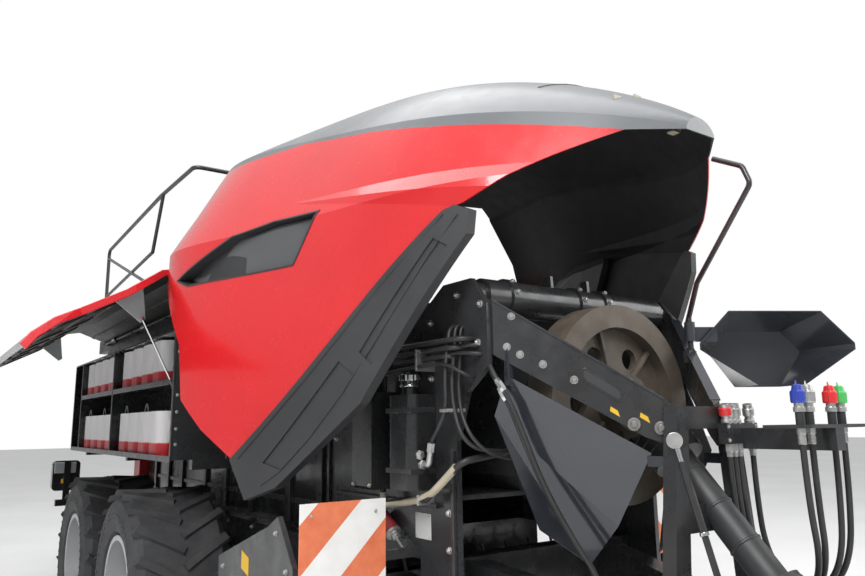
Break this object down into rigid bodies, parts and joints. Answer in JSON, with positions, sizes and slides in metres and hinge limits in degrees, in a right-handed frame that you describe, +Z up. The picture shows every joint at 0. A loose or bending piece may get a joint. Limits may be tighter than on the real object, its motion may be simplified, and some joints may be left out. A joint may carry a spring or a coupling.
{
  "type": "large square baler",
  "caption": "Large square baler parked on its jack: raised hood, open side doors with twine balls, flywheel, pick-up, tandem axle and folding bale chute.",
  "frame": {"origin": "middle of the footprint on the floor", "axes": "+X to the machine's left, -Y forward to the hitch, +Z up"},
  "size_m": [4.2844, 8.7, 3.5869],
  "materials": {
    "red": "glossy",
    "red_paint": "glossy",
    "grey_cap": "satin",
    "black_plastic": "ribbed matte",
    "black_paint": "satin",
    "grey_paint": "satin",
    "dark_steel": "satin",
    "cast": "dusty",
    "silver": "satin",
    "chrome": "polished",
    "tyre": "matte",
    "twine": "wrapped balls",
    "lamp": "clear and black",
    "plate": "blank sheet",
    "rubber": "matte",
    "steel": "worn"
  },
  "bodies": {
    "frame": {"chassis_frame": "black_paint", "bale_chamber": "black_paint", "density_frame": "red_paint", "feeder_duct": "dark_steel", "undercarriage": "dark_steel", "front_frame": "dark_steel", "cross_tube": "dark_steel", "upper_beams": "dark_steel", "front_guards": "black_paint", "drawbar": "dark_steel", "hitch_eye": "steel", "drawbar_post": "dark_steel", "jack_tube": "dark_steel", "gearbox": "dark_steel", "pto_shaft": "black_plastic", "roof_deck": "black_paint", "roof_frames": "dark_steel", "rear_steps": "dark_steel", "handrails": "dark_steel", "twine_box_left": "grey_paint", "twine_box_right": "grey_paint", "twine_balls_left": "twine", "twine_balls_right": "twine", "rear_lamps": "lamp", "hazard_plates": "plate", "oil_tank": "black_plastic", "valve_box": "black_paint", "fixed_hoses": "rubber", "hose_1": "rubber", "hose_2": "rubber", "hose_3": "rubber", "hose_4": "rubber"},
    "wheel_front_left": {"rim_front_left": "silver", "tyre_front_left": "tyre"},
    "wheel_front_right": {"rim_front_right": "silver", "tyre_front_right": "tyre"},
    "wheel_rear_left": {"rim_rear_left": "silver", "tyre_rear_left": "tyre"},
    "wheel_rear_right": {"rim_rear_right": "silver", "tyre_rear_right": "tyre"},
    "flywheel_body": {"flywheel": "cast"},
    "shield_body": {"flywheel_shield": "grey_paint"},
    "hood": {"hood_sides": "red", "hood_cap": "grey_cap", "hood_skirts": "black_plastic", "hood_scoops": "black_plastic", "hood_arms": "dark_steel"},
    "door_left": {"side_door_left": "black_plastic"},
    "door_right": {"side_door_right": "black_plastic"},
    "strut_base_left": {"strut_barrel_left": "black_paint"},
    "strut_base_right": {"strut_barrel_right": "black_paint"},
    "strut_slide_left": {"strut_rod_left": "chrome"},
    "strut_slide_right": {"strut_rod_right": "chrome"},
    "pickup": {"pickup_frame": "dark_steel"},
    "reel": {"pickup_reel": "dark_steel"},
    "gauge_left": {"gauge_wheel_left": "rubber"},
    "gauge_right": {"gauge_wheel_right": "rubber"},
    "chute": {"bale_chute": "dark_steel"},
    "jack": {"jack_leg": "steel"}
  },
  "joints": [
    {"name": "wheel_front_left_spin", "type": "hinge", "parent": "frame", "child": "wheel_front_left", "pos_m": [1.18, -0.09, 0.6], "axis": [1, 0, 0], "continuous": true},
    {"name": "wheel_front_right_spin", "type": "hinge", "parent": "frame", "child": "wheel_front_right", "pos_m": [-1.18, -0.09, 0.6], "axis": [1, 0, 0], "continuous": true},
    {"name": "wheel_rear_left_spin", "type": "hinge", "parent": "frame", "child": "wheel_rear_left", "pos_m": [1.18, 1.35, 0.6], "axis": [1, 0, 0], "continuous": true},
    {"name": "wheel_rear_right_spin", "type": "hinge", "parent": "frame", "child": "wheel_rear_right", "pos_m": [-1.18, 1.35, 0.6], "axis": [1, 0, 0], "continuous": true},
    {"name": "flywheel_spin", "type": "hinge", "parent": "frame", "child": "flywheel_body", "pos_m": [0, -2.85, 1.65], "axis": [0, 1, 0], "continuous": true},
    {"name": "shield_hinge", "type": "hinge", "parent": "frame", "child": "shield_body", "pos_m": [0.425, -2.905, 1.97], "axis": [0, 0, -1], "range_deg": [0, 150]},
    {"name": "hood_hinge", "type": "hinge", "parent": "frame", "child": "hood", "pos_m": [0, -0.38, 2.95], "axis": [1, 0, 0], "range_deg": [0, 12]},
    {"name": "pickup_lift", "type": "hinge", "parent": "frame", "child": "pickup", "pos_m": [0, -1, 0.74], "axis": [1, 0, 0], "range_deg": [0, 18]},
    {"name": "reel_spin", "type": "hinge", "parent": "pickup", "child": "reel", "pos_m": [0, -1.83072, 0.61036], "axis": [1, 0, 0], "continuous": true},
    {"name": "gauge_left_spin", "type": "hinge", "parent": "pickup", "child": "gauge_left", "pos_m": [1.31, -1.5749, 0.36216], "axis": [1, 0, 0], "continuous": true},
    {"name": "gauge_right_spin", "type": "hinge", "parent": "pickup", "child": "gauge_right", "pos_m": [-1.31, -1.5749, 0.36216], "axis": [1, 0, 0], "continuous": true},
    {"name": "chute_fold", "type": "hinge", "parent": "frame", "child": "chute", "pos_m": [0, 3.35, 0.93], "axis": [1, 0, 0], "range_deg": [0, 80]},
    {"name": "jack_slide", "type": "slide", "parent": "frame", "child": "jack", "axis": [0, 0, 1], "range_m": [0, 0.31]},
    {"name": "door_left_hinge", "type": "hinge", "parent": "frame", "child": "door_left", "pos_m": [1, 1.1, 2.4], "axis": [0, 1, 0], "range_deg": [0, 54]},
    {"name": "strut_left_pivot", "type": "hinge", "parent": "frame", "child": "strut_base_left", "pos_m": [1.07, -0.44, 1.47], "axis": [0, -1, 0], "range_deg": [0, 21.62]},
    {"name": "strut_left_stroke", "type": "slide", "parent": "strut_base_left", "child": "strut_slide_left", "axis": [-0.4544, 0, -0.8908], "range_m": [0, 0.37792]},
    {"name": "door_right_hinge", "type": "hinge", "parent": "frame", "child": "door_right", "pos_m": [-1, 1.1, 2.4], "axis": [0, -1, 0], "range_deg": [0, 54]},
    {"name": "strut_right_pivot", "type": "hinge", "parent": "frame", "child": "strut_base_right", "pos_m": [-1.07, -0.44, 1.47], "axis": [0, 1, 0], "range_deg": [0, 21.62]},
    {"name": "strut_right_stroke", "type": "slide", "parent": "strut_base_right", "child": "strut_slide_right", "axis": [0.4544, 0, -0.8908], "range_m": [0, 0.37792]}
  ],
  "couplings": [
    {"joint": "strut_left_pivot", "follows": "door_left_hinge", "ratio": 0.39674},
    {"joint": "strut_left_stroke", "follows": "door_left_hinge", "m_per_rad": 0.39993},
    {"joint": "strut_right_pivot", "follows": "door_right_hinge", "ratio": 0.39674},
    {"joint": "strut_right_stroke", "follows": "door_right_hinge", "m_per_rad": 0.39993}
  ]
}
